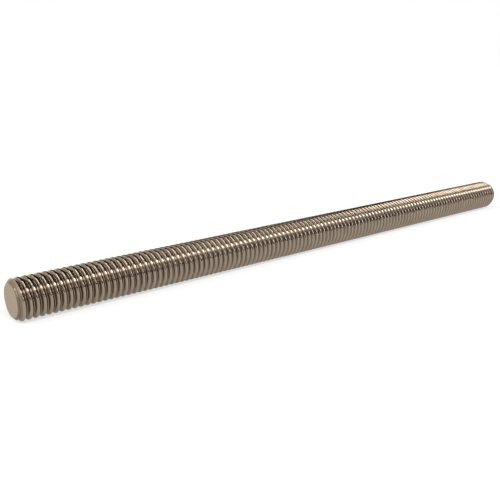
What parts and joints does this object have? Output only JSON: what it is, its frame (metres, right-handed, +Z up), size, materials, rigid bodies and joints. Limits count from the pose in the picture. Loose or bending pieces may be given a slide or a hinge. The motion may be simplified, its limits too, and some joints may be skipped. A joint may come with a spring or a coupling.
{
  "type": "threaded rod",
  "caption": "Straight metal rod with a fine right-hand thread from end to end and chamfered, square-cut ends.",
  "frame": {"origin": "middle of the left end face, on the axis of the rod", "axes": "+X along the axis of the rod, from the left end face to the right one; +Z is up with the rod lying level"},
  "size_m": [0.15, 0.008, 0.008],
  "materials": {
    "warm_steel": "rolled bare stainless steel, warm grey, bright on the thread's flanks"
  },
  "bodies": {
    "root": {"threaded_rod": "warm_steel"}
  },
  "joints": []
}
